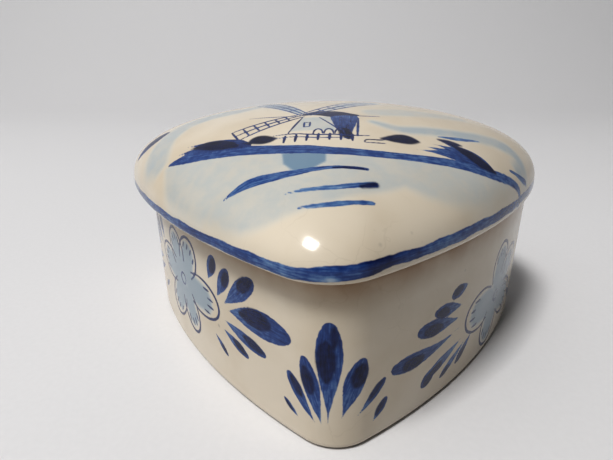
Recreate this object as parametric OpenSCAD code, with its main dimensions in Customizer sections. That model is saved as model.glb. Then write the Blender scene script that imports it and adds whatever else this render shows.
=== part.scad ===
// Heart-shaped trinket box in glazed earthenware: a straight-walled heart body
// with a foot ring, and a loose domed lid with a locating flange underneath.
// +Z is up and the heart's rounded tip points along -Y. The origin is on the
// resting surface, under the middle of the lid's width and length.

/* [Heart outline, measured round the lid] */
// Width of the lid across its two lobes
lid_w = 90; // [84:1:100]
// Radius of each lobe
lobe_r = 23; // [21:0.5:25]
// From the line through the lobe centres to the centre of the tip's arc
tip_reach = 42.5; // [40:0.5:46]
// Radius of the rounded tip
tip_r = 10.7; // [10.2:0.1:13]
// Radius of the long arc along each side
side_r = 118; // [100:1:140]
// Radius of the fillet at the bottom of the cleft
cleft_r = 5; // [3:0.5:8]

/* [Body] */
// Height of the body, foot to rim
body_h = 29.5; // [22:0.5:40]
// Thickness of the wall
wall_t = 3.2; // [2.8:0.1:3.4]
// Thickness of the floor
floor_t = 3.4; // [2.5:0.1:5]
// Rounding of the outer bottom edge
base_round = 1.2; // [0.8:0.1:2]
// Rounding of both edges of the rim
rim_round = 0.7; // [0.4:0.1:1.2]
// Fillet between the wall and the floor inside
inner_fillet = 2.4; // [1:0.1:2.6]
// Width of the foot ring
foot_w = 2.6; // [2:0.1:4]
// Depth of the recess inside the foot ring
foot_recess = 0.8; // [0.4:0.1:1.2]

/* [Lid] */
// How far the lid overhangs the body all round
overhang = 2.3; // [1.5:0.1:2.6]
// Height of the lid's upright edge
edge_h = 1.9; // [1.6:0.1:3]
// Rounding of the lid's lower lip
lip_round = 1.1; // [0.6:0.1:1.4]
// Rise of the dome above the upright edge
dome_h = 16.1; // [10:0.1:20]
// Thickness of the lid at the top of its dome
crown_t = 3.2; // [3:0.1:5]
// Height of the hollow's straight side above the lid's lip
hollow_side = 2.4; // [1:0.1:2.6]
// Fullness of the dome over the lobes
lobe_fullness = 2.25; // [1.8:0.05:3]
// Steepness of the dome's edge round the lobes
lobe_edge = 2.4; // [1.6:0.1:3]
// Fullness of the dome towards the tip
tip_fullness = 1.8; // [1.4:0.05:2.5]
// Steepness of the dome's edge round the tip
tip_edge = 1.7; // [1.2:0.1:2.5]
// Angle from the tip at which the dome has its full shape
tip_spread = 106; // [90:1:140]
// Depth of the locating flange below the lip
flange_h = 3; // [2:0.1:5]
// Thickness of the locating flange
flange_t = 2; // [1.6:0.1:2.2]
// Play between the flange and the inside of the wall
flange_play = 1.8; // [1.5:0.1:1.9]
// How far the loose lid sits to the left of the body's centre
lid_shift = 1.3; // [0:0.1:1.4]
// Gap between the lid's lip and the body's rim
seat_gap = 0.1; // [0.05:0.05:0.2]

/* [Hidden] */

// Corners along each arc of the lid's rings, for half of the heart
TIP_STEPS = 6;
SIDE_STEPS = 11;
LOBE_STEPS = 18;
CLEFT_STEPS = 5;
// Rings on the dome, inside the dome, and corners on each small rounding
DOME_RINGS = 12;
HOLLOW_RINGS = 10;
ROUND_STEPS = 4;

// Arc centres of the right-hand half of the heart
lobe_x = lid_w / 2 - lobe_r;
lobe_y = (tip_reach + tip_r - lobe_r) / 2;
lobe_c = [lobe_x, lobe_y];
tip_c = [0, lobe_y - tip_reach];
cleft_c = [0, lobe_y + sqrt((lobe_r + cleft_r) ^ 2 - lobe_x ^ 2)];
side_c = circle_meet(lobe_c, side_r - lobe_r, tip_c, side_r - tip_r);

// Directions in which neighbouring arcs meet
tip_side_a = heading(side_c, tip_c);
side_lobe_a = heading(side_c, lobe_c);
lobe_cleft_a = heading(lobe_c, cleft_c);

// Levels and insets of the body and the lid
lip_z = body_h + seat_gap;
hollow_z = lip_z + hollow_side;
hollow_h = edge_h + dome_h - crown_t - hollow_side;
well_inset = overhang + wall_t;
flange_inset = well_inset + flange_play;
hollow_inset = flange_inset + flange_t;
// Clay left on the foot ring, to be ground off
foot_spare = 0.5;
// Middle of the heart, from which its whole outline can be seen
middle = [0, lobe_y - 8];
// The dome's rings shrink towards the middle, turning into circles of this radius
dome_core_r = 0.82 * lid_w / 2;
dome_blend = 1.5;

glaze_cream = [0.86, 0.82, 0.74];
glaze_blue = [0.80, 0.82, 0.82];

// Direction in degrees from one point to another
function heading(from, to) = atan2(to.y - from.y, to.x - from.x);

// Point at a distance from a centre, in a direction
function polar(c, r, a) = c + r * [cos(a), sin(a)];

// The left-hand meeting point of two circles, each given by centre and radius
function circle_meet(c1, r1, c2, r2) =
    let (
        d = norm(c2 - c1),
        along = (r1 ^ 2 - r2 ^ 2 + d ^ 2) / (2 * d),
        across = sqrt(r1 ^ 2 - along ^ 2),
        u = (c2 - c1) / d
    )
    c1 + along * u + across * [u.y, -u.x];

// Points on an arc, the last one left out
function arc_points(c, r, a0, a1, steps) =
    [for (i = [0 : steps - 1]) polar(c, r, a0 + (a1 - a0) * i / steps)];

// Right-hand half of the heart from its tip to its cleft, inset by d
function half_heart(d) = concat(
    arc_points(tip_c, tip_r - d, -90, tip_side_a, TIP_STEPS),
    arc_points(side_c, side_r - d, tip_side_a, side_lobe_a, SIDE_STEPS),
    arc_points(lobe_c, lobe_r - d, side_lobe_a, lobe_cleft_a, LOBE_STEPS),
    arc_points(cleft_c, cleft_r + d, lobe_cleft_a - 180, -90, CLEFT_STEPS)
);

function mirrored(p) = [-p.x, p.y];

// Whole heart, anticlockwise from its tip, inset by d
function heart(d) =
    let (half = half_heart(d), last = len(half) - 1)
    concat(half, [polar(cleft_c, cleft_r + d, -90)], [for (i = [last : -1 : 1]) mirrored(half[i])]);

// Points of a small rounding in a section, both ends included
function rounding(c, r, a0, a1) =
    [for (i = [0 : ROUND_STEPS]) polar(c, r, a0 + (a1 - a0) * i / ROUND_STEPS)];

function flat_ring(outline, z) = [for (p = outline) [p.x, p.y, z]];

// Rings of a section given as [inset, height] points, round an outline inset by d
function section_rings(section, d) = [for (p = section) flat_ring(heart(d + p.x), p.y)];

// A closed skin: a point on an upper face, rings outwards and round, a point underneath
module ring_skin(upper_z, rings, under_z) {
    n = len(rings[0]);
    ends = len(rings) * n;
    points = concat(
        [for (ring = rings) each ring],
        [[middle.x, middle.y, upper_z], [middle.x, middle.y, under_z]]
    );
    faces = concat(
        [for (i = [0 : n - 1]) [ends, (i + 1) % n, i]],
        [for (k = [0 : len(rings) - 2], i = [0 : n - 1])
            let (j = (i + 1) % n)
            each [[k * n + i, k * n + j, (k + 1) * n + j], [k * n + i, (k + 1) * n + j, (k + 1) * n + i]]],
        [for (i = [0 : n - 1]) [ends + 1, ends - n + i, ends - n + (i + 1) % n]]
    );
    polyhedron(points, faces);
}

// ---- Box body ----

// From the floor inside, up the wall, over the rim and down to the recess underneath
function body_section() = concat(
    rounding([wall_t + inner_fillet, floor_t + inner_fillet], inner_fillet, -90, -180),
    rounding([wall_t - rim_round, body_h - rim_round], rim_round, 0, 90),
    rounding([rim_round, body_h - rim_round], rim_round, 90, 180),
    rounding([base_round, base_round], base_round, 180, 270),
    [[base_round, -foot_spare], [base_round + foot_w, -foot_spare], [base_round + foot_w, foot_recess]]
);

module box_body() {
    color(glaze_cream)
        translate([lid_shift, 0, 0])
            difference() {
                ring_skin(floor_t, section_rings(body_section(), overhang), foot_recess);
                // The foot ring is ground off to one flat face
                translate([-lid_w, -lid_w, -lid_w])
                    cube([2 * lid_w, 2 * lid_w, lid_w]);
            }
}

// ---- Lid ----

// Share of the lower tip shape in a direction, from 1 at the tip to 0 over the lobes
function tip_share(reach) =
    let (from_tip = abs(atan2(reach.x, -reach.y)))
    0.5 + 0.5 * cos(min(180, from_tip * 180 / tip_spread));

// Height of a dome of a given rise at a fraction s of the way out
function dome_z(rise, s, tip) =
    let (
        fullness = lobe_fullness + (tip_fullness - lobe_fullness) * tip,
        edge = 1 / lobe_edge + (1 / tip_edge - 1 / lobe_edge) * tip
    )
    rise * (1 - s ^ fullness) ^ edge;

// Size of an outline across, against the lid's own
function relative_size(outline) = max([for (p = outline) p.x]) / (lid_w / 2);

// Ring at a fraction s of the way out to an outline, rounder towards the middle
function dome_ring(outline, z0, rise, s) =
    let (heartness = s ^ dome_blend, core_r = dome_core_r * relative_size(outline))
    [for (p = outline)
        let (
            reach = p - middle,
            q = middle + s * (heartness * reach + (1 - heartness) * core_r * reach / norm(reach))
        )
        [q.x, q.y, z0 + dome_z(rise, s, tip_share(reach))]];

// Fractions from the middle outwards, closer together near the edge
function fractions(count) = [for (i = [1 : count]) sin(90 * i / count)];

// From the upright edge, round the lip and the flange, to the mouth of the hollow
function edge_section() = concat(
    rounding([lip_round, lip_z + lip_round], lip_round, 180, 270),
    [[flange_inset, lip_z], [flange_inset, lip_z - flange_h], [hollow_inset, lip_z - flange_h]]
);

// The hollow under the dome, from its mouth to its top
function hollow_rings() =
    let (outwards = [for (s = fractions(HOLLOW_RINGS)) dome_ring(heart(hollow_inset), hollow_z, hollow_h, s)])
    [for (i = [HOLLOW_RINGS - 1 : -1 : 0]) outwards[i]];

module lid() {
    dome_rings = [for (s = fractions(DOME_RINGS)) dome_ring(heart(0), lip_z + edge_h, dome_h, s)];
    color(glaze_blue)
        ring_skin(
            lip_z + edge_h + dome_h,
            concat(dome_rings, section_rings(edge_section(), 0), hollow_rings()),
            hollow_z + hollow_h
        );
}

box_body();
lid();
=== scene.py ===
import math
from collections import namedtuple

import bpy
import numpy as np
from mathutils import Matrix, Vector


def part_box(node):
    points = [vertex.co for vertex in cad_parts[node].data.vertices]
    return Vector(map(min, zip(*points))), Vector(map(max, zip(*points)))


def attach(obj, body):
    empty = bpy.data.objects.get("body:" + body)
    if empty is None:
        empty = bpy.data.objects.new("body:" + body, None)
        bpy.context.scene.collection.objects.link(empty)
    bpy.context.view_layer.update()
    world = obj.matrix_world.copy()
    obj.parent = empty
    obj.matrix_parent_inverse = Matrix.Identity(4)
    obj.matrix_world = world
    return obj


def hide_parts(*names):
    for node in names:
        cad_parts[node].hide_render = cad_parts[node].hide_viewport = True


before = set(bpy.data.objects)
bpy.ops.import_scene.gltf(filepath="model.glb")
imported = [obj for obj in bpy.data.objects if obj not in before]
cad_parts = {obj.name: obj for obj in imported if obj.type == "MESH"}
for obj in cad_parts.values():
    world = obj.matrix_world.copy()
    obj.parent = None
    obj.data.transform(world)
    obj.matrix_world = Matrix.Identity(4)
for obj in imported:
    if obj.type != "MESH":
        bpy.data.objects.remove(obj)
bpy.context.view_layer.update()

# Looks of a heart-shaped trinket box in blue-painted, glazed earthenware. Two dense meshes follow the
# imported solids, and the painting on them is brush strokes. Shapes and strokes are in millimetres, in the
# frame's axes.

MM = 0.001

# ---- Sizes: the castings' boxes come from the frame, and the rest are the CAD model's own ----

lid_low, lid_high = [np.array(corner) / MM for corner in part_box("lid")]
body_low, body_high = [np.array(corner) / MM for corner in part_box("box_body")]

HALF_W = (lid_high[0] - lid_low[0]) / 2
OVERHANG = HALF_W - (body_high[0] - body_low[0]) / 2
BODY_SHIFT = (body_low[0] + body_high[0]) / 2
BODY_H = body_high[2]

LOBE_R = 23.0
TIP_R = 10.7
SIDE_R = 118.0
CLEFT_R = 5.0

WALL_T = 3.2
FLOOR_T = 3.4
RIM_ROUND = 0.7
BASE_ROUND = 1.2
INNER_FILLET = 2.4
FOOT_W = 2.6
FOOT_RECESS = 0.8

FLANGE_H = 3.0
FLANGE_T = 2.0
FLANGE_PLAY = 1.8
LIP_ROUND = 1.1
EDGE_H = 1.9
CROWN_T = 3.2
HOLLOW_SIDE = 2.4
FINE_ROUND = 0.3

# The dome's fullness and the steepness of its edge, over the lobes and towards the tip
LOBE_FULLNESS = 2.25
LOBE_EDGE = 2.4
TIP_FULLNESS = 1.8
TIP_EDGE = 1.7
TIP_SPREAD = 106  # angle from the tip, in degrees, at which only the lobes' shape is left
DOME_BLEND = 1.5

LIP_Z = lid_low[2] + FLANGE_H
DOME_Z = LIP_Z + EDGE_H
DOME_H = lid_high[2] - DOME_Z
FLANGE_INSET = OVERHANG + WALL_T + FLANGE_PLAY
HOLLOW_INSET = FLANGE_INSET + FLANGE_T
HOLLOW_Z = LIP_Z + HOLLOW_SIDE
HOLLOW_H = lid_high[2] - CROWN_T - HOLLOW_Z

# ---- Heart outline ----

LOBE = np.array([HALF_W - LOBE_R, lid_high[1] - LOBE_R])
TIP = np.array([0.0, lid_low[1] + TIP_R])
CLEFT = np.array([0.0, LOBE[1] + math.sqrt((LOBE_R + CLEFT_R) ** 2 - LOBE[0] ** 2)])
MIDDLE = np.array([0.0, LOBE[1] - 8.0])
CORE_R = 0.82 * HALF_W


def circle_meet(c1, r1, c2, r2):
    """The left-hand meeting point of two circles, seen from the first centre."""
    gap = c2 - c1
    d = np.hypot(*gap)
    along = (r1**2 - r2**2 + d**2) / (2 * d)
    across = math.sqrt(r1**2 - along**2)
    u = gap / d
    return c1 + along * u + across * np.array([u[1], -u[0]])


def heading(start, end):
    """Direction from one point to another, in degrees."""
    return math.degrees(math.atan2(end[1] - start[1], end[0] - start[0]))


SIDE = circle_meet(LOBE, SIDE_R - LOBE_R, TIP, SIDE_R - TIP_R)
TIP_SIDE = heading(SIDE, TIP)
SIDE_LOBE = heading(SIDE, LOBE)
LOBE_CLEFT = heading(LOBE, CLEFT)


class Heart:
    """Columns round the heart, anticlockwise from its tip, that give its outline at any inset."""

    def __init__(self, tip, side, lobe, cleft):
        arcs = [
            (TIP, TIP_R, 1, -90.0, TIP_SIDE, tip),
            (SIDE, SIDE_R, 1, TIP_SIDE, SIDE_LOBE, side),
            (LOBE, LOBE_R, 1, SIDE_LOBE, LOBE_CLEFT, lobe),
            (CLEFT, CLEFT_R, -1, LOBE_CLEFT - 180, -90.0, cleft),
        ]
        centres, radii, signs, angles = [], [], [], []
        for centre, radius, sign, start, end, count in arcs:
            last = sign < 0
            for a in np.linspace(start, end, count + 1)[: count + last]:
                centres.append(centre)
                radii.append(radius)
                signs.append(sign)
                angles.append(math.radians(a))
        centres = np.array(centres)
        directions = np.column_stack([np.cos(angles), np.sin(angles)])
        back = slice(-2, 0, -1)
        flip = np.array([-1, 1])
        self.centre = np.vstack([centres, centres[back] * flip])
        self.direction = np.vstack([directions, directions[back] * flip])
        self.radius = np.concatenate([radii, radii[back]])
        self.sign = np.concatenate([signs, signs[back]])
        self.count = len(self.radius)

    def outline(self, inset):
        """Points [x, y] of the heart, inset all round."""
        return self.centre + (self.radius - self.sign * inset)[:, None] * self.direction

    def ring(self, inset, z):
        return np.column_stack([self.outline(inset), np.full(self.count, z)])

    def along(self, inset):
        """Distance round the outline from the tip: positive to the right, negative to the left."""
        points = self.outline(inset)
        steps = np.hypot(*(np.roll(points, -1, axis=0) - points).T)
        distance = np.concatenate([[0], np.cumsum(steps)[:-1]])
        total = steps.sum()
        return np.where(distance > total / 2, distance - total, distance)


def tip_share(reach):
    """1 towards the tip, falling to 0 over the lobes."""
    from_tip = np.abs(np.degrees(np.arctan2(reach[:, 0], -reach[:, 1])))
    return 0.5 + 0.5 * np.cos(np.radians(np.minimum(180, from_tip * 180 / TIP_SPREAD)))


def dome_rings(outline, base, rise, fractions):
    """Rings of a dome over an outline, turning from circles at the middle into the heart at the edge."""
    reach = outline - MIDDLE
    unit = reach / np.hypot(*reach.T)[:, None]
    core = CORE_R * outline[:, 0].max() / HALF_W
    tip = tip_share(reach)
    fullness = LOBE_FULLNESS + (TIP_FULLNESS - LOBE_FULLNESS) * tip
    edge = 1 / LOBE_EDGE + (1 / TIP_EDGE - 1 / LOBE_EDGE) * tip
    rings = []
    for s in fractions:
        heartness = s**DOME_BLEND
        q = MIDDLE + s * (heartness * reach + (1 - heartness) * core * unit)
        z = base + rise * np.maximum(0, 1 - s**fullness) ** edge
        rings.append(np.column_stack([q, z]))
    return rings


def section(corners, spacing, steps=4):
    """Points [inset, z] along a section, whose corners [inset, z, radius] are square turns, rounded off."""
    points = [np.array(corners[0][:2], float)]
    for before, corner, after in zip(corners, corners[1:], corners[2:]):
        p = np.array(corner[:2], float)
        a = p - np.array(before[:2])
        b = np.array(after[:2]) - p
        a /= np.hypot(*a)
        b /= np.hypot(*b)
        r = corner[2]
        for t in np.linspace(0, math.pi / 2, steps + 1):
            points.append(p - r * a + r * b - r * b * math.cos(t) + r * a * math.sin(t))
    points.append(np.array(corners[-1][:2], float))
    fine = [points[0]]
    for start, end in zip(points, points[1:]):
        parts = max(1, math.ceil(np.hypot(*(end - start)) / spacing))
        fine += [start + (end - start) * k / parts for k in range(1, parts + 1)]
    return fine


def skin(name, rings, top, bottom):
    """A closed mesh: a fan on top, rings outwards, down and back in, and a fan underneath."""
    n = len(rings[0])
    ends = len(rings) * n
    points = np.vstack(rings + [[top], [bottom]]) * MM
    i = np.arange(n)
    j = (i + 1) % n
    faces = np.column_stack([np.full(n, ends), i, j]).tolist()
    for k in range(len(rings) - 1):
        a = k * n
        b = a + n
        faces += np.column_stack([a + i, b + i, b + j, a + j]).tolist()
    last = ends - n
    faces += np.column_stack([np.full(n, ends + 1), last + j, last + i]).tolist()
    mesh = bpy.data.meshes.new(name)
    mesh.from_pydata(points.tolist(), [], faces)
    mesh.shade_smooth()
    obj = bpy.data.objects.new(name, mesh)
    bpy.context.scene.collection.objects.link(obj)
    return obj


# ---- Brush strokes ----

# How far each painted layer's edge spreads, from the bottom layer to the top one
LAYERS = {"brush": 0.1, "pool": 0.3, "line": 0.09}

# layer is "wash" or one of LAYERS; path holds x, y and radius; tone runs from 0, pale, to 1, nearly black
Stroke = namedtuple("Stroke", "layer path tone")

# A layer at each of many points: distance to its nearest stroke, which is negative inside the stroke, the
# stroke's tone, and the place along and across it
Coat = namedtuple("Coat", "distance tone along across")
NO_COAT = Coat(9.0, 0.5, 0.0, 0.0)  # far from every stroke

STROKE_GAP = 7.0  # sets the streaks of one stroke apart from those of the next
STROKE_MARGIN = 1.5  # how far outside a stroke its distance is still worked out
THINNEST = 0.05  # least radius of a broad stroke

# The dark colour that pools in a leaf: its tone, and its width and shift to one side in the leaf's radius
POOL_TONE = 0.84
POOL_WIDTH = 0.78
POOL_SHIFT = 0.24

PETAL_ROOT = 1.6  # where petals begin, from the flower's centre
PETAL_TURN = 128  # a petal's outline goes this many degrees round to each side of its end
PETAL_MARKS = (-0.3, -0.1, 0.1, 0.3)  # places of the short marks across a petal, in its width
CENTRE_R = 1.2  # radius of the ring where the petals meet
CENTRE_WASH_R = 3.0


def smooth(points, steps=6):
    """A Catmull-Rom curve through points."""
    p = np.array(points, float)
    if len(p) < 3:
        t = np.linspace(0, 1, steps + 1)[:, None]
        return p[0] + (p[-1] - p[0]) * t
    p = np.vstack([2 * p[0] - p[1], p, 2 * p[-1] - p[-2]])
    out = []
    for k in range(1, len(p) - 2):
        for t in np.arange(steps) / steps:
            out.append(
                0.5 * (2 * p[k] + (p[k + 1] - p[k - 1]) * t
                       + (2 * p[k - 1] - 5 * p[k] + 4 * p[k + 1] - p[k + 2]) * t**2
                       + (3 * p[k] - p[k - 1] - 3 * p[k + 1] + p[k + 2]) * t**3)
            )
    return np.array(out + [p[-2]])


def unit_vectors(angle):
    """A direction in the plane, given in degrees, and the one square to its left."""
    a = math.radians(angle)
    return np.array([math.cos(a), math.sin(a)]), np.array([-math.sin(a), math.cos(a)])


def line(points, width, tone):
    """A thin line through points, a little thinner at both ends."""
    path = smooth(points)
    t = np.linspace(0, 1, len(path))
    radius = width / 2 * (0.6 + 0.4 * np.sin(math.pi * t))
    return [Stroke("line", np.column_stack([path, radius]), np.full(len(path), tone))]


def broad(points, tone, layer="brush"):
    """A stroke through points [x, y, radius]. tone is one value, or one at each end."""
    path = smooth(points)
    start, end = tone if isinstance(tone, tuple) else (tone, tone)
    path[:, 2] = np.maximum(path[:, 2], THINNEST)
    return [Stroke(layer, path, np.linspace(start, end, len(path)))]


def leaf(root, end, width, belly=0.68, bow=0.0, tone=0.52, pool=0.7, pool_size=0.22, lean=1):
    """One touch of a loaded brush: pointed at its root, round at its end, with dark colour pooled in it.

    belly and pool are how far along it is widest and darkest. bow bends it, and lean is the pool's side.
    """
    root = np.array(root, float)
    reach = np.array(end, float) - root
    side = np.array([-reach[1], reach[0]]) / np.hypot(*reach)
    t = np.linspace(0, 1, 17)
    swell = np.sin(math.pi * t ** (math.log(0.5) / math.log(belly)))
    radius = width / 2 * swell ** (0.75 - 0.2 * t)
    centre = root + t[:, None] * reach + (bow * np.sin(math.pi * t))[:, None] * side
    strokes = [Stroke("brush", np.column_stack([centre, radius]), tone + 0.2 * (t - 0.6))]
    inside = np.abs(t - pool) < pool_size
    if inside.sum() > 1:
        round_off = np.sqrt(1 - ((t - pool) / pool_size)[inside] ** 2)
        shift = (POOL_SHIFT * lean * radius[inside])[:, None] * side
        pooled = np.column_stack([centre[inside] + shift, POOL_WIDTH * radius[inside] * round_off])
        strokes.append(Stroke("pool", pooled, np.full(inside.sum(), POOL_TONE)))
    return strokes


def petal(centre, angle, reach, width):
    """A petal's outline, open at its root, with short marks near its end and wash in its inner half."""
    u, v = unit_vectors(angle)
    root = np.array(centre) + PETAL_ROOT * u
    length = reach - PETAL_ROOT
    middle = root + u * length / 2
    around = np.radians(np.linspace(-PETAL_TURN, PETAL_TURN, 9))
    outline = [middle + math.cos(t) * u * length / 2 + math.sin(t) * v * width / 2 for t in around]
    strokes = line(outline, 0.62, 0.7)
    for side in PETAL_MARKS:
        start = middle + u * length * (0.4 - abs(side) / 2) + v * width * side
        strokes += line([start, start - u * length * 0.16], 0.5, 0.68)
    inner_half = [(0, 0.2), (0.25, 0.4), (0.6, 0.36)]
    wash = [(*(root + share * length * u), radius * width) for share, radius in inner_half]
    return strokes + broad(wash, 0.72, "wash")


def flower(centre, petals):
    """Petals given as (angle, reach, width) round a centre, with a small ring where they meet."""
    strokes = []
    for angle, reach, width in petals:
        strokes += petal(centre, angle, reach, width)
    turns = np.radians(np.arange(0, 361, 60))
    ring = [np.array(centre) + CENTRE_R * np.array([math.cos(t), math.sin(t)]) for t in turns]
    strokes += line(ring, 0.45, 0.6)
    x, y = centre
    return strokes + broad([(x, y, CENTRE_WASH_R), (x + 0.1, y, CENTRE_WASH_R)], 0.66, "wash")


def paint(points, strokes, layer):
    """The coat that the strokes of one layer leave at each point."""
    coat = Coat(*(np.full(len(points), empty) for empty in NO_COAT))
    for index, stroke in enumerate(s for s in strokes if s.layer == layer):
        path = stroke.path
        margin = path[:, 2].max() + STROKE_MARGIN
        low = path[:, :2].min(0) - margin
        high = path[:, :2].max(0) + margin
        near = np.flatnonzero(((points >= low) & (points <= high)).all(1))
        gap = STROKE_GAP * index
        run = gap
        for k in range(len(path) - 1):
            a = path[k, :2]
            ab = path[k + 1, :2] - a
            length = max(np.hypot(*ab), 1e-6)
            offset = points[near] - a
            t = np.clip(offset @ ab / length**2, 0, 1)
            radius = path[k, 2] + (path[k + 1, 2] - path[k, 2]) * t
            distance = np.hypot(*(offset - t[:, None] * ab).T) - radius
            aside = (offset[:, 0] * ab[1] - offset[:, 1] * ab[0]) / length
            closer = distance < coat.distance[near]
            chosen = near[closer]
            coat.distance[chosen] = distance[closer]
            coat.tone[chosen] = (stroke.tone[k] + (stroke.tone[k + 1] - stroke.tone[k]) * t)[closer]
            coat.along[chosen] = run + t[closer] * length
            coat.across[chosen] = gap + aside[closer]
            run += length
    return coat


def over(top, under):
    """Two coats as one: at each point, the one whose stroke is nearer."""
    nearer = top.distance < under.distance
    return Coat(*(np.where(nearer, a, b) for a, b in zip(top, under)))


def ease(t):
    """t held between 0 and 1, with a smooth start and end."""
    t = np.clip(t, 0, 1)
    return t * t * (3 - 2 * t)


def wash_of(points, strokes, softness):
    """How strongly the wash strokes colour each point; they fade over softness at their edges."""
    coat = paint(points, strokes, "wash")
    return coat.tone * ease(0.5 - coat.distance / softness)


def soft_area(points, corners, softness):
    """1 inside a polygon, fading to 0 across softness at its edge."""
    p = np.array(corners, float)
    q = np.roll(p, -1, axis=0)
    distance = np.full(len(points), 1e3)
    inside = np.zeros(len(points), bool)
    for a, b in zip(p, q):
        ab = b - a
        offset = points - a
        t = np.clip(offset @ ab / (ab @ ab), 0, 1)
        distance = np.minimum(distance, np.hypot(*(offset - t[:, None] * ab).T))
        if a[1] != b[1]:
            crosses = (a[1] > points[:, 1]) != (b[1] > points[:, 1])
            at = a[0] + (points[:, 1] - a[1]) * ab[0] / ab[1]
            inside ^= crosses & (points[:, 0] < at)
    return ease(0.5 + np.where(inside, distance, -distance) / softness)


def wave(x, *periods):
    """A gentle unevenness between about -1 and 1."""
    return sum(np.sin(2 * math.pi * x / p + 1.7 * k) for k, p in enumerate(periods)) / len(periods)


# ---- The body's painting: distance round the wall from the tip, and height ----

def front_spray():
    strokes = leaf((-1, 5.5), (-1, 23), 4.0, belly=0.7, pool=0.62, pool_size=0.2)
    strokes += leaf((-0.5, 17), (-0.5, 22.5), 1.5, pool=0.6, pool_size=0.5, lean=-1)
    strokes += leaf((1, 6.5), (4, 16.5), 3.5, pool=0.76, pool_size=0.18, lean=-1)
    strokes += leaf((-2, 5), (-5, 16.5), 2.9, belly=0.66, pool=0.66, pool_size=0.2)
    strokes += leaf((-3, 5), (-8, 12.5), 2.2, belly=0.66, pool=0.72, pool_size=0.2, lean=-1)
    strokes += leaf((3.5, 6.5), (8.5, 11.5), 1.7, belly=0.66, pool=0.66, pool_size=0.28)
    strokes += leaf((6.5, 4), (9, 7.5), 1.7, belly=0.6, pool=0.55, pool_size=0.36)
    strokes += leaf((-6, 4.5), (-9, 7), 0.9, belly=0.55, pool=0.6, pool_size=0.3)
    return strokes


def left_leaves():
    strokes = leaf((-22, 17), (-7.5, 18), 4.9, belly=0.62, bow=0.5, pool=0.46, pool_size=0.26)
    strokes += leaf((-23.5, 17.5), (-15, 25), 3.5, pool=0.8, pool_size=0.2)
    strokes += leaf((-25.5, 18), (-21.5, 24.5), 2.8, pool=0.76, pool_size=0.22, lean=-1)
    strokes += leaf((-28, 20.5), (-25.5, 25.5), 2.7, pool=0.68, pool_size=0.3, lean=-1)
    strokes += leaf((-23.5, 14.5), (-12.5, 12.5), 2.4, belly=0.62, pool=0.72, pool_size=0.24)
    strokes += leaf((-24, 12.5), (-17, 10), 1.9, belly=0.62, pool=0.66, pool_size=0.26)
    strokes += leaf((-27, 10), (-23, 7), 1.1, belly=0.55, pool=0.7, pool_size=0.24)
    return strokes


def right_leaves():
    strokes = leaf((28.5, 20.5), (23.5, 20), 2.4, belly=0.62, pool=0.66, pool_size=0.3, lean=-1)
    strokes += leaf((27.5, 17), (19, 18.5), 2.6, belly=0.66, pool=0.72, pool_size=0.2)
    strokes += leaf((27.5, 14.5), (15, 16.5), 3.2, belly=0.7, pool=0.66, pool_size=0.2)
    strokes += leaf((28, 12.5), (9.5, 12), 3.2, belly=0.76, bow=0.7, pool=0.72, pool_size=0.15)
    strokes += leaf((28.5, 9.5), (17.5, 6), 2.2, belly=0.62, pool=0.7, pool_size=0.2, tone=0.45)
    strokes += leaf((21, 7.5), (17.5, 5), 2.6, belly=0.6, pool=0.6, pool_size=0.3)
    strokes += leaf((30.5, 8.5), (22.5, 4), 1.6, belly=0.66, pool=0.82, pool_size=0.18, tone=0.45)
    strokes += leaf((33, 9), (27.5, 4.5), 1.8, belly=0.66, pool=0.7, pool_size=0.26)
    return strokes


def shifted(strokes, distance):
    """The same strokes further round the wall."""
    return [Stroke(s.layer, s.path + np.array([distance, 0, 0]), s.tone) for s in strokes]


def mirrored(strokes, about):
    """The same strokes on the far side of a flower."""
    flipped = []
    for stroke in strokes:
        path = stroke.path * np.array([-1, 1, 1]) + np.array([2 * about, 0, 0])
        flipped.append(Stroke(stroke.layer, path, stroke.tone))
    return flipped


LEFT_FLOWER = (-39.5, 16)
RIGHT_FLOWER = (43.5, 12)
BACK_SPRAY = 98.0


def body_strokes():
    strokes = front_spray() + left_leaves() + right_leaves()
    strokes += mirrored(left_leaves(), LEFT_FLOWER[0])
    strokes += mirrored(right_leaves(), RIGHT_FLOWER[0])
    strokes += shifted(front_spray(), BACK_SPRAY) + shifted(front_spray(), -BACK_SPRAY)
    strokes += flower(
        LEFT_FLOWER,
        [(-2, 14.5, 7.8), (60, 11, 7.4), (114, 10.5, 7.2), (172, 13, 7.4), (236, 12, 7.2), (-65, 11, 6.6)],
    )
    strokes += flower(
        RIGHT_FLOWER,
        [(178, 14, 8.4), (88, 11.5, 8.0), (36, 12.5, 7.8), (-24, 12.5, 8.0), (250, 10.5, 7.8)],
    )
    return strokes


# ---- The lid's painting: x and y, seen from above ----

HUB = np.array([-4.6, -3.9])


def windmill_sail(angle, length, width, tone, rungs):
    """A lattice of two rails, a middle rail and rungs, widening away from the hub."""
    u, v = unit_vectors(angle)
    strokes = []
    for side in (-0.5, 0, 0.5):
        start = HUB + u * 0.5 + v * side * width * 0.4
        strokes += line([start, HUB + u * length + v * side * width], 0.48, tone)
    for k in range(1, rungs + 1):
        share = k / rungs
        reach = HUB + u * (1.5 + (length - 1.5) * share)
        half = v * width * (0.2 + 0.3 * share)
        strokes += line([reach - half, reach + half], 0.42, tone)
    return strokes


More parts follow.
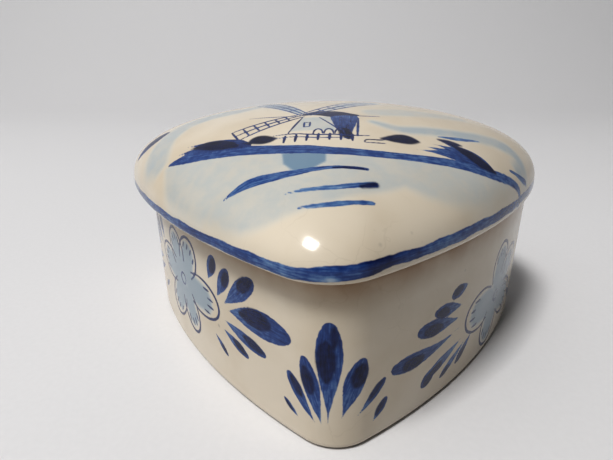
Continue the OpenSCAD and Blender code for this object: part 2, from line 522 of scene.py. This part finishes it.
def windmill():
    strokes = windmill_sail(208, 13.4, 4.0, 0.66, 6)
    strokes += windmill_sail(45, 17, 4.6, 0.5, 6)
    strokes += windmill_sail(124, 16, 3.8, 0.5, 5)
    strokes += broad([(-5.5, -2.5, 0.6), (-9, 2.5, 1.4), (-14, 9.5, 1.9)], 0.75, "wash")
    strokes += broad([(-1, -1, 0.6), (3, 3.5, 1.4), (8, 8.5, 2.2)], 0.5, "wash")
    cap = [(-5, -4, 0.3), (-2.5, -3, 1.2), (0.5, -3.5, 1.8), (3, -4, 1.2), (5, -4, 0.3)]
    strokes += broad(cap, 0.86)
    strokes += broad([(2.5, -5.5, 2.5), (2.5, -8.5, 2.0), (2.5, -11.5, 1.3), (3, -14.5, 0.5)], (0.5, 0.7))
    strokes += broad([(2.5, -11.5, 0.8), (2.5, -13, 1.1), (3, -14.5, 0.5)], 0.95, "pool")
    strokes += line([(-5, -5.5), (-7, -12)], 0.4, 0.7)
    strokes += line([(-2, -5.5), (1.5, -11.5)], 0.34, 0.62)
    strokes += line([(5, -5.5), (4.5, -13.5)], 0.5, 0.62)
    strokes += line([(-15, -3), (-10, -4), (-5.5, -4.5)], 0.34, 0.6)
    strokes += line([(3.5, -4.5), (9, -4)], 0.34, 0.6)
    for x in (-4.5, -3.5):
        strokes += line([(x, -9.9), (x, -7.8)], 0.36, 0.62)
    for y in (-10, -8):
        strokes += line([(-4.6, y), (-3.6, y)], 0.36, 0.62)
    return strokes


FENCE = [(-9.5, -12.5), (-6, -12.5), (-2, -13.5), (0.5, -13.5), (3.5, -13.5), (6.5, -13)]
FENCE_POSTS = 7


def fence():
    """Two rails, posts down to the ground and three small arches behind them."""
    strokes = line(FENCE, 0.45, 0.66)
    strokes += line([(x, y - 1.1) for x, y in FENCE[:-1]], 0.36, 0.6)
    for k in range(FENCE_POSTS):
        x = -7.5 + 1.85 * k
        strokes += line([(x + 0.1, -13), (x, -15.4)], 0.5, 0.72)
    for x in (-2, -0.2, 1.6):
        arch = [(x + 0.8 * math.cos(a), -13 + 1.8 * math.sin(a)) for a in np.radians([180, 135, 90, 45, 0])]
        strokes += line(arch, 0.42, 0.66)
    return strokes


def fan(root, ends, width, tone):
    """Several touches of the brush from one root, pointed at their far ends."""
    strokes = []
    for end in ends:
        strokes += leaf(end, root, width, belly=0.7, tone=tone, pool_size=0)
    return strokes


def bushes():
    strokes = fan((-13, -14.5), [(-29, -10.5), (-28, -9), (-26, -8)], 3.0, 0.6)
    left_trunk = [(-24.5, -9.5, 0.2), (-21.5, -10.5, 1.1), (-18.5, -12, 1.3), (-15.5, -13.5, 0.4)]
    strokes += broad(left_trunk, 0.92, "pool")
    left_shrub = [(-13.5, -13.5, 0.3), (-12, -13, 1.3), (-10.5, -13.5, 1.2), (-9, -13.5, 0.3)]
    strokes += broad(left_shrub, 0.95, "pool")
    strokes += line([(5.5, -15.5), (6, -14.5), (8.5, -14), (9.5, -13)], 0.36, 0.8)
    strokes += line([(5.5, -15.5), (9, -15)], 0.3, 0.7)
    right_shrub = [(8.5, -13.5, 0.3), (10.5, -13, 1.1), (12.5, -12.5, 1.5), (14.5, -12.5, 0.4)]
    strokes += broad(right_shrub, 0.95, "pool")
    strokes += fan((27.5, -12), [(14, -15), (15.5, -13.5), (17, -12), (18.5, -10.5)], 2.8, 0.55)
    right_trunk = [(20.5, -10.5, 0.4), (23.5, -11.5, 1.2), (25.5, -12, 1.2), (28, -12, 0.3)]
    strokes += broad(right_trunk, 0.9, "pool")
    strokes += broad([(18.5, -10, 0.3), (20.5, -10, 0.8), (22.5, -9.5, 0.2)], 0.85, "pool")
    strokes += broad([(18.5, -9, 0.15), (22.5, -7.5, 0.5), (27, -5, 0.15)], 0.36)
    strokes += line([(32, -8), (35, -6), (37, -4)], 0.6, 0.42)
    strokes += leaf((-41, 4), (-34, 5.5), 3.6, belly=0.55, tone=0.66, pool=0.6, pool_size=0.3)
    return strokes


def water():
    ground = [(-28.5, -10.5, 0.3), (-24, -12, 1.3), (-18.5, -14, 1.4), (-12.5, -16, 1.2),
              (-4.5, -18, 1.2), (1.5, -19, 1.05), (11, -18, 0.85), (19, -16, 0.9),
              (27, -13, 0.8), (34.5, -8, 0.3)]
    strokes = broad(ground, (0.52, 0.44))
    strokes += broad([(-15.5, -25, 0.15), (-12, -24, 0.9), (-8.5, -24, 0.9), (-4, -24, 0.6),
                      (0, -23.5, 0.4), (5.5, -23, 0.35)], (0.42, 0.46))
    strokes += line([(0.5, -23.5), (5.5, -23)], 0.6, 0.78)
    strokes += broad([(-6, -28, 0.2), (-1.5, -28, 0.4), (2, -27.5, 0.45), (6.5, -26, 0.5)], (0.26, 0.42))
    strokes += broad([(4.5, -27, 0.35), (5.5, -26.5, 0.5), (6.5, -26, 0.55)], 0.86, "pool")
    strokes += broad([(-4, -31, 0.2), (-1, -31, 0.4), (2, -30.5, 0.4), (6, -29.5, 0.3)], (0.3, 0.4))
    return strokes


def sky():
    """Broad, pale strokes that sweep over the lobes."""
    strokes = broad([(-31, -8.5, 1.6), (-33, -4, 3.0), (-32.5, 0.5, 3.3), (-29.5, 4.5, 3.3), (-24, 6, 3.0),
                     (-18.5, 5.5, 2.4), (-13.5, 8, 1.5)], 0.42, "wash")
    strokes += broad([(7.5, -7, 0.8), (12, -9, 1.4), (17.5, -7.5, 1.6), (23, -5.5, 1.6), (29.5, -2.5, 1.8),
                      (34, -1, 2.0), (36, -2.5, 1.6), (34.5, -5.5, 1.2)], 0.5, "wash")
    strokes += broad([(8, -1.5, 2.2), (13.5, 0.5, 2.4), (19, 2.5, 2.0), (26, 5.5, 1.4)], 0.34, "wash")
    strokes += broad([(-33, 13, 1.0), (-27, 20, 2.2), (-18, 23, 2.4), (-9, 19, 0.8)], 0.34, "wash")
    strokes += broad([(7, 17, 0.8), (15, 22, 2.2), (25, 21, 2.6), (33, 13, 1.0)], 0.34, "wash")
    return strokes


def lid_strokes():
    return windmill() + fence() + bushes() + water() + sky()


def lid_wash(points, strokes):
    """Two broad washes of water under the ground's line, a darker patch in them, the mill and the sky."""
    left_shore = smooth([(-29.5, -10.5), (-27, -17.5), (-18.5, -26), (-8.5, -32), (6, -28), (22, -16)])
    left_water = soft_area(points, [*left_shore, (1, -18.5), (-18, -13.5)], 1.6)
    right_shore = smooth([(8, -24.5), (15, -25), (23, -21), (33, -10)])
    right_water = soft_area(points, [(4, -19), *right_shore, (20, -15)], 2.4)
    patch_edge = smooth([(-7, -21.5), (-4, -24.5), (-0.5, -22)])
    patch = soft_area(points, [(-7.5, -18.5), *patch_edge, (-0.5, -19)], 0.7)
    mill = soft_area(points, [(-5, -5.5), (0.5, -5), (1, -12), (-7, -11.5)], 0.8)
    broad_areas = [0.36 * left_water, 0.34 * right_water, patch, 0.4 * mill]
    return np.max([*broad_areas, wash_of(points, strokes, 2.2)], axis=0)


# Middle of the blue band on the lid's upright edge: its height, and how much it rises from left to right
BAND_Z = 31.42
BAND_TILT = 0.36
BAND_HALF = 0.82
BAND_STREAKS = 300  # sets the band's streaks apart from those of the strokes


def bump_at(x, centre, width):
    """1 at the centre, falling to nearly 0 at two widths from it."""
    return np.exp(-(((x - centre) / width) ** 2))


def edge_band(points, z, along):
    """The coat of the uneven blue band, with a dark place and a rubbed one beside the tip."""
    near_tip = bump_at(along, 1.5, 6)
    middle = BAND_Z + BAND_TILT * np.clip(points[:, 0] / 8, -1, 1) + 0.12 * wave(along, 23, 9.7)
    half = BAND_HALF + 0.24 * near_tip + 0.12 * wave(along, 17, 6.1, 41)
    dark = bump_at(along, 7, 3)
    rubbed = bump_at(along, 0.4, 1.1) * bump_at(z, 30.9, 0.4)
    tone = 0.5 + 0.1 * wave(along, 31, 13) - 0.06 * near_tip + 0.3 * dark - 0.6 * rubbed
    return Coat(np.abs(z - middle) - half, tone, along, BAND_STREAKS + z)


# ---- Meshes ----

RIM_MEET = RIM_ROUND + 0.2  # inset at which the body's inner and outer sections meet on the rim
RIM_BARE = 0.2  # unpainted height at the top of the wall
FOOT_BARE = 0.12  # height of the bare clay up the foot
LEVEL = 0.01  # how near a height a point has to be to lie at it
UNDER_LID_SHADE_H = 6.0  # how far down the wall the painted brown shade under the lid reaches


def on_vertices(values, painted, empty=0.0):
    """Values of the painted points as one for each vertex; the middles of the two fans come last."""
    whole = np.full(len(painted) + 2, empty)
    whole[:-2][painted] = values
    return whole


def set_surface(obj, painted, coats, wash, bare, under_lid_shade):
    """Stores on the mesh, vertex by vertex, what its glaze shows, with the painted shade under the lid's
    edge.
    """
    fields = {}
    for layer, coat in coats.items():
        for suffix, values, empty in zip(("", "_tone", "_along", "_across"), coat, NO_COAT):
            fields[layer + suffix] = on_vertices(values, painted, empty)
    fields["wash"] = on_vertices(wash, painted)
    fields["bare"] = [*bare, 0, 0]
    # painted shade under the lid's edge
    fields["under_lid_shade"] = [*under_lid_shade, 0, 0]
    for name, values in fields.items():
        attribute = obj.data.attributes.new(name, "FLOAT", "POINT")
        attribute.data.foreach_set("value", np.asarray(values, np.float32))


def body_sections():
    """The body's section in two stretches: inside, from floor to rim, and outside, from rim to foot."""
    foot_inset = BASE_ROUND + FOOT_W
    inner = [
        (WALL_T + INNER_FILLET + 0.8, FLOOR_T, 0),
        (WALL_T, FLOOR_T, INNER_FILLET),
        (WALL_T, BODY_H, RIM_ROUND),
        (RIM_MEET, BODY_H, 0),
    ]
    outer = [
        (RIM_MEET, BODY_H, 0),
        (0, BODY_H, RIM_ROUND),
        (0, 0, BASE_ROUND),
        (foot_inset, 0, FINE_ROUND),
        (foot_inset, FOOT_RECESS, FINE_ROUND / 2),
        (foot_inset + 1.6, FOOT_RECESS, 0),
    ]
    return section(inner, 2.0), section(outer, 0.36)[1:]


def make_body():
    heart = Heart(tip=30, side=190, lobe=120, cleft=18)
    shift = np.array([BODY_SHIFT, 0, 0])
    inner, outer = body_sections()
    rings, wall, bare, under_lid_shade = [], [], [], []
    for k, (inset, z) in enumerate(inner + outer):
        outside = k >= len(inner)
        rings.append(heart.ring(OVERHANG + inset, z) + shift)
        wall.append(outside and inset < BASE_ROUND and z < BODY_H - RIM_BARE)
        bare.append(z > BODY_H - LEVEL or outside and z < FOOT_BARE)
        # painted shade under the lid's edge: strongest at the rim, fading to nothing a few millimetres down
        under_lid_shade.append(outside * max(0, 1 - (BODY_H - z) / UNDER_LID_SHADE_H))
    wall, bare, under_lid_shade = [np.repeat(values, heart.count) for values in (wall, bare, under_lid_shade)]
    centre = MIDDLE + shift[:2]
    obj = skin("box_body_glazed", rings, (*centre, FLOOR_T), (*centre, FOOT_RECESS))
    z = np.vstack(rings)[:, 2]
    along = np.tile(heart.along(OVERHANG), len(rings))
    places = np.column_stack([along, z])[wall]
    strokes = body_strokes()
    coats = {layer: paint(places, strokes, layer) for layer in LAYERS}
    set_surface(obj, wall, coats, wash_of(places, strokes, 2.0), bare, under_lid_shade)
    return obj


def crown_fractions():
    """How far out each of the dome's rings is, closer together where the lines are fine and at the edge."""
    edge = 1 - 0.25 * np.linspace(1, 0, 43)[1:] ** 2
    return np.concatenate([np.linspace(0.02, 0.2, 27), np.linspace(0.207, 0.75, 76), edge])


def lid_underside():
    """The lid's section from the foot of its dome, round the lip and the flange, to its hollow."""
    flange_z = LIP_Z - FLANGE_H
    corners = [
        (0, DOME_Z, 0),
        (0, LIP_Z, LIP_ROUND),
        (FLANGE_INSET, LIP_Z, FINE_ROUND),
        (FLANGE_INSET, flange_z, FINE_ROUND),
        (HOLLOW_INSET, flange_z, FINE_ROUND),
        (HOLLOW_INSET, HOLLOW_Z, 0),
    ]
    return section(corners, 1.2)[1:]


def make_lid():
    heart = Heart(tip=24, side=120, lobe=100, cleft=14)
    rings = dome_rings(heart.outline(0), DOME_Z, DOME_H, crown_fractions())
    outside = [True] * len(rings)
    bare = [False] * len(rings)
    for inset, z in lid_underside():
        rings.append(heart.ring(inset, z))
        outside.append(inset < LIP_ROUND)
        bare.append(z < LIP_Z + LEVEL)
    fractions = np.sin(np.linspace(0.1, 1, 14) * math.pi / 2)
    hollow = dome_rings(heart.outline(HOLLOW_INSET), HOLLOW_Z, HOLLOW_H, fractions)[::-1][1:]
    rings += hollow
    outside += [False] * len(hollow)
    bare += [False] * len(hollow)
    outside, bare = [np.repeat(values, heart.count) for values in (outside, bare)]
    obj = skin("lid_glazed", rings, (*MIDDLE, lid_high[2]), (*MIDDLE, HOLLOW_Z + HOLLOW_H))
    places = np.vstack(rings)[outside]
    plan = places[:, :2]
    along = np.tile(heart.along(0), len(rings))[outside]
    strokes = lid_strokes()
    coats = {layer: paint(plan, strokes, layer) for layer in LAYERS}
    coats["brush"] = over(edge_band(plan, places[:, 2], along), coats["brush"])
    set_surface(obj, outside, coats, lid_wash(plan, strokes), bare, np.zeros(len(bare)))
    return obj


# ---- Materials ----

def rgb(red, green, blue):
    """A colour given in the usual 0 to 255, as the linear values that shaders take."""
    values = []
    for c in (red, green, blue):
        c /= 255
        values.append(c / 12.92 if c <= 0.04045 else ((c + 0.055) / 1.055) ** 2.4)
    return (*values, 1)


class Nodes:
    """Adds nodes to a material or a world, each fed by values or by other nodes' outputs."""

    def __init__(self, owner):
        owner.use_nodes = True
        self.tree = owner.node_tree
        self.tree.nodes.clear()

    def add(self, kind, inputs=None, output=0, **settings):
        node = self.tree.nodes.new("ShaderNode" + kind)
        for name, value in settings.items():
            setattr(node, name, value)
        for name, value in (inputs or {}).items():
            socket = node.inputs[name]
            if isinstance(value, bpy.types.NodeSocket):
                self.tree.links.new(value, socket)
            else:
                socket.default_value = value
        return node.outputs[output] if node.outputs else node

    def math(self, operation, a, b=0.0):
        return self.add("Math", {0: a, 1: b}, operation=operation)

    def attribute(self, name):
        return self.add("Attribute", output="Fac", attribute_name=name)

    def noise(self, vector, scale, detail=3.0, roughness=0.5):
        inputs = {"Vector": vector, "Scale": scale, "Detail": detail, "Roughness": roughness}
        return self.add("TexNoise", inputs)

    def spread(self, value, low, high, to_low=0.0, to_high=1.0, smooth=True):
        inputs = {"Value": value, "From Min": low, "From Max": high, "To Min": to_low, "To Max": to_high}
        return self.add("MapRange", inputs, interpolation_type="SMOOTHSTEP" if smooth else "LINEAR")

    def mix(self, factor, a, b):
        return self.add("Mix", {0: factor, 6: a, 7: b}, output=2, data_type="RGBA")

    def ramp(self, factor, stops):
        node = self.tree.nodes.new("ShaderNodeValToRGB")
        elements = node.color_ramp.elements
        while len(elements) < len(stops):
            elements.new(0.5)
        for element, (place, colour) in zip(elements, stops):
            element.position = place
            element.color = colour
        self.tree.links.new(factor, node.inputs["Fac"])
        return node.outputs["Color"]


INKS = [
    (0.0, rgb(172, 184, 194)),
    (0.3, rgb(94, 124, 163)),
    (0.5, rgb(44, 72, 128)),
    (0.72, rgb(20, 36, 86)),
    (1.0, rgb(6, 10, 40)),
]


CREAM = rgb(208, 198, 182)
CREAM_CLOUD = rgb(199, 187, 168)
SPECK = rgb(128, 124, 118)
CRAZING = rgb(150, 136, 116)
# brown of the painted shade under the lid's edge
UNDER_LID_SHADE_BROWN = rgb(136, 102, 66)
PALE_WASH = rgb(202, 201, 194)
DEEP_WASH = rgb(118, 140, 158)
CLAY = rgb(190, 168, 140)
DARK_CLAY = rgb(168, 143, 114)


def clouded_cream(n, mm):
    """The glaze over plain clay: cream with large, faint, warm clouds."""
    clouds = n.noise(mm, 0.06, 4.0)
    return n.mix(n.spread(clouds, 0.35, 0.7), CREAM, CREAM_CLOUD)


def add_specks(n, mm, base):
    """Small grey specks, in some places only."""
    cell = n.add("TexVoronoi", {"Vector": mm, "Scale": 0.16}, output="Distance")
    where = n.spread(n.noise(mm, 0.08), 0.55, 0.62)
    speck = n.math("MULTIPLY", n.spread(cell, 0.03, 0.08, 0.4, 0.0), where)
    return n.mix(speck, base, SPECK)


def add_crazing(n, mm, base):
    """The faint net of old cracks in the glaze, bent out of line, in some places only."""
    wander = n.add("TexNoise", {"Vector": mm, "Scale": 0.12, "Detail": 4.0}, output="Color")
    bend = n.add("VectorMath", {0: wander, 3: 9.0}, operation="SCALE")
    bent = n.add("VectorMath", {0: mm, 1: bend}, operation="ADD")
    cells = {"Vector": bent, "Scale": 0.13}
    edge = n.add("TexVoronoi", cells, output="Distance", feature="DISTANCE_TO_EDGE")
    where = n.spread(n.noise(mm, 0.05), 0.5, 0.62)
    crack = n.math("MULTIPLY", n.spread(edge, 0.004, 0.014, 0.1, 0.0), where)
    return n.mix(crack, base, CRAZING)


def add_under_lid_shade(n, mm, base):
    """Painted shade: the glaze is browned and darkened under the lid's edge, fading down the wall."""
    fade = n.math("POWER", n.attribute("under_lid_shade"), 1.4)
    uneven = n.spread(n.noise(mm, 0.15), 0.3, 0.7, 0.7, 1.0)
    return n.mix(n.math("MULTIPLY", fade, uneven), base, UNDER_LID_SHADE_BROWN)


def add_wash(n, mm, base):
    """Watery blue, in uneven pools."""
    wash = n.attribute("wash")
    pooling = n.spread(n.noise(mm, 0.3, 4.0, 0.6), 0.3, 0.7, 1.5, 2.4)
    wet = n.math("MINIMUM", n.math("MULTIPLY", wash, pooling), 1.0)
    return n.mix(wet, base, n.mix(wash, PALE_WASH, DEEP_WASH))


def add_ink(n, mm, base, layer, softness):
    """One layer of strokes: an edge that bleeds a little, streaks along the brush and mottled colour."""
    bleed = n.math("MULTIPLY", n.math("SUBTRACT", n.noise(mm, 0.8, 3.0), 0.5), 0.3)
    ragged = n.math("MULTIPLY", bleed, 1.0 if layer == "brush" else 0.5)
    mask = n.spread(n.math("ADD", n.attribute(layer), ragged), softness, -softness)
    along = n.math("MULTIPLY", n.attribute(layer + "_along"), 0.25)
    across = n.math("MULTIPLY", n.attribute(layer + "_across"), 2.2)
    brushed = n.add("CombineXYZ", {"X": along, "Y": across})
    streaks = n.math("MULTIPLY", n.math("SUBTRACT", n.noise(brushed, 1.6, 3.0), 0.5), 0.55)
    mottle = n.math("MULTIPLY", n.math("SUBTRACT", n.noise(mm, 0.9, 3.0), 0.5), 0.35)
    tone = n.math("ADD", n.attribute(layer + "_tone"), n.math("ADD", streaks, mottle))
    return n.mix(mask, base, n.ramp(tone, INKS))


def glaze_waves(n, mm, bare):
    """The glaze's slow waves with fine grain on them, which is stronger on bare clay."""
    grain = n.math("MULTIPLY", n.noise(mm, 2.2, 3.0), n.spread(bare, 0, 1, 0.015, 0.25))
    height = n.math("ADD", n.noise(mm, 0.12, 2.0), grain)
    return n.add("Bump", {"Strength": 0.12, "Distance": 0.4 * MM, "Height": height})


def painted_glaze(name):
    """Cream earthenware painted in blue under a clear, slightly wavy glaze, with bare clay at the foot."""
    material = bpy.data.materials.new(name)
    n = Nodes(material)
    place = n.add("TexCoord", output="Object")
    mm = n.add("VectorMath", {0: place, 3: 1 / MM}, operation="SCALE")
    base = clouded_cream(n, mm)
    base = add_specks(n, mm, base)
    base = add_crazing(n, mm, base)
    # painted shade under the lid's edge
    base = add_under_lid_shade(n, mm, base)
    base = add_wash(n, mm, base)
    for layer, softness in LAYERS.items():
        base = add_ink(n, mm, base, layer, softness)
    bare = n.attribute("bare")
    base = n.mix(bare, base, n.mix(n.noise(mm, 2.5, 5.0), CLAY, DARK_CLAY))
    glossy = n.spread(n.noise(mm, 0.2, 3.0), 0.3, 0.7, 0.12, 0.18)
    rough = n.add("Mix", {0: bare, 2: glossy, 3: 0.75})
    bump = glaze_waves(n, mm, bare)
    surface = {"Base Color": base, "Roughness": rough, "Specular IOR Level": 0.36, "Normal": bump}
    n.add("OutputMaterial", {"Surface": n.add("BsdfPrincipled", surface)})
    return material


def paper(name):
    """Plain pale paper for the floor and backdrop."""
    material = bpy.data.materials.new(name)
    n = Nodes(material)
    place = n.add("TexCoord", output="Object")
    grain = n.noise(place, 900.0, 4.0)
    colour = n.mix(grain, rgb(213, 212, 213), rgb(208, 207, 208))
    bump = n.add("Bump", {"Strength": 0.05, "Distance": 0.0002, "Height": grain})
    shader = n.add("BsdfPrincipled", {"Base Color": colour, "Roughness": 0.65, "Normal": bump})
    n.add("OutputMaterial", {"Surface": shader})
    return material


# ---- Object ----

body = make_body()
body.data.materials.append(painted_glaze("box_painted_glaze"))
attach(body, "box")
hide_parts("box_body")

lid = make_lid()
lid.data.materials.append(painted_glaze("lid_painted_glaze"))
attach(lid, "lid")
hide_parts("lid")

# ---- Stage, light and camera ----

# Sizes of the backdrop, in metres
FLOOR_REACH = 1.5
WALL_Y = 0.9
WALL_H = 2.0
SWEEP_R = 0.5
HALF_SPAN = 2.0


def make_backdrop():
    """A floor that curves up into a wall behind the box."""
    turn = np.linspace(0, math.pi / 2, 25)
    profile = [(-FLOOR_REACH, 0.0)]
    profile += [(WALL_Y - SWEEP_R + SWEEP_R * math.sin(t), SWEEP_R - SWEEP_R * math.cos(t)) for t in turn]
    profile.append((WALL_Y, WALL_H))
    points = [(x, y, z) for y, z in profile for x in (-HALF_SPAN, HALF_SPAN)]
    faces = [(2 * k, 2 * k + 1, 2 * k + 3, 2 * k + 2) for k in range(len(profile) - 1)]
    mesh = bpy.data.meshes.new("backdrop")
    mesh.from_pydata(points, [], faces)
    mesh.shade_smooth()
    obj = bpy.data.objects.new("backdrop", mesh)
    bpy.context.scene.collection.objects.link(obj)
    return obj


backdrop = make_backdrop()
backdrop.data.materials.append(paper("pale_paper"))


def direction(azimuth, elevation):
    """A unit vector away from the box. Azimuth 0 is in front of the tip, and turns towards +X."""
    a, e = math.radians(azimuth), math.radians(elevation)
    return Vector((math.sin(a) * math.cos(e), -math.cos(a) * math.cos(e), math.sin(e)))


def area_light(name, azimuth, elevation, distance, size, power, colour):
    """A square light aimed at the middle of the box."""
    away = direction(azimuth, elevation)
    light = bpy.data.lights.new(name, "AREA")
    light.size = size
    light.energy = power
    light.color = colour
    obj = bpy.data.objects.new(name, light)
    obj.location = away * distance + Vector((0, 0, 0.03))
    obj.rotation_euler = away.to_track_quat("Z", "Y").to_euler()
    bpy.context.scene.collection.objects.link(obj)


LAMP_COLOUR = (1.0, 0.995, 0.98)

area_light("lamp", azimuth=-42, elevation=64, distance=1.5, size=0.32, power=22, colour=LAMP_COLOUR)

ROOM_COLOUR = (0.96, 0.98, 1.0, 1)
GLOW_AZIMUTH = -60
GLOW_ELEVATION = 50
GLOW_STRENGTH = 1.3
GLOW_FOCUS = 8.0
HORIZON_STRENGTH = 0.36
ZENITH_STRENGTH = 0.02
HORIZON_H = 0.2  # height at which the horizon's light has faded, as the sine of the elevation


def soft_room():
    """Soft light from the lamp's side of the room, and a pale horizon."""
    world = bpy.data.worlds.new("room")
    n = Nodes(world)
    view = n.add("TexCoord", output="Generated")
    middle = direction(GLOW_AZIMUTH, GLOW_ELEVATION)
    towards = n.add("VectorMath", {0: view, 1: middle}, output=1, operation="DOT_PRODUCT")
    glow = n.math("POWER", n.math("MAXIMUM", towards, 0.0), GLOW_FOCUS)
    height = n.add("SeparateXYZ", {"Vector": view}, output="Z")
    horizon = n.spread(height, 0.0, HORIZON_H, HORIZON_STRENGTH, ZENITH_STRENGTH)
    strength = n.math("ADD", n.math("MULTIPLY", glow, GLOW_STRENGTH), horizon)
    n.add("OutputWorld", {"Surface": n.add("Background", {"Color": ROOM_COLOUR, "Strength": strength})})
    return world


bpy.context.scene.world = soft_room()

CAMERA_AZIMUTH = 3.2
CAMERA_ELEVATION = 21.5
CAMERA_ROLL = -0.38
CAMERA_DISTANCE = 104.0
CAMERA_AIM = (-5.35, 11.4, 17.8)
CAMERA_LENS = 25.4
CAMERA_SENSOR = 36


def make_camera():
    """A camera a little above the box, looking at its tip."""
    back = direction(CAMERA_AZIMUTH, CAMERA_ELEVATION)
    turn = math.radians(CAMERA_AZIMUTH)
    right = Vector((math.cos(turn), math.sin(turn), 0))
    up = back.cross(right)
    roll = math.radians(CAMERA_ROLL)
    rolled_right = right * math.cos(roll) + up * math.sin(roll)
    rolled_up = up * math.cos(roll) - right * math.sin(roll)
    camera = bpy.data.cameras.new("camera")
    camera.lens = CAMERA_LENS
    camera.sensor_width = CAMERA_SENSOR
    camera.clip_start = 0.002
    obj = bpy.data.objects.new("camera", camera)
    place = (Vector(CAMERA_AIM) + back * CAMERA_DISTANCE) * MM
    axes = Matrix((rolled_right, rolled_up, back)).transposed().to_4x4()
    obj.matrix_world = Matrix.Translation(place) @ axes
    bpy.context.scene.collection.objects.link(obj)
    return obj


bpy.context.scene.camera = make_camera()
bpy.context.scene.view_settings.view_transform = "Standard"
bpy.context.scene.view_settings.gamma = 0.8
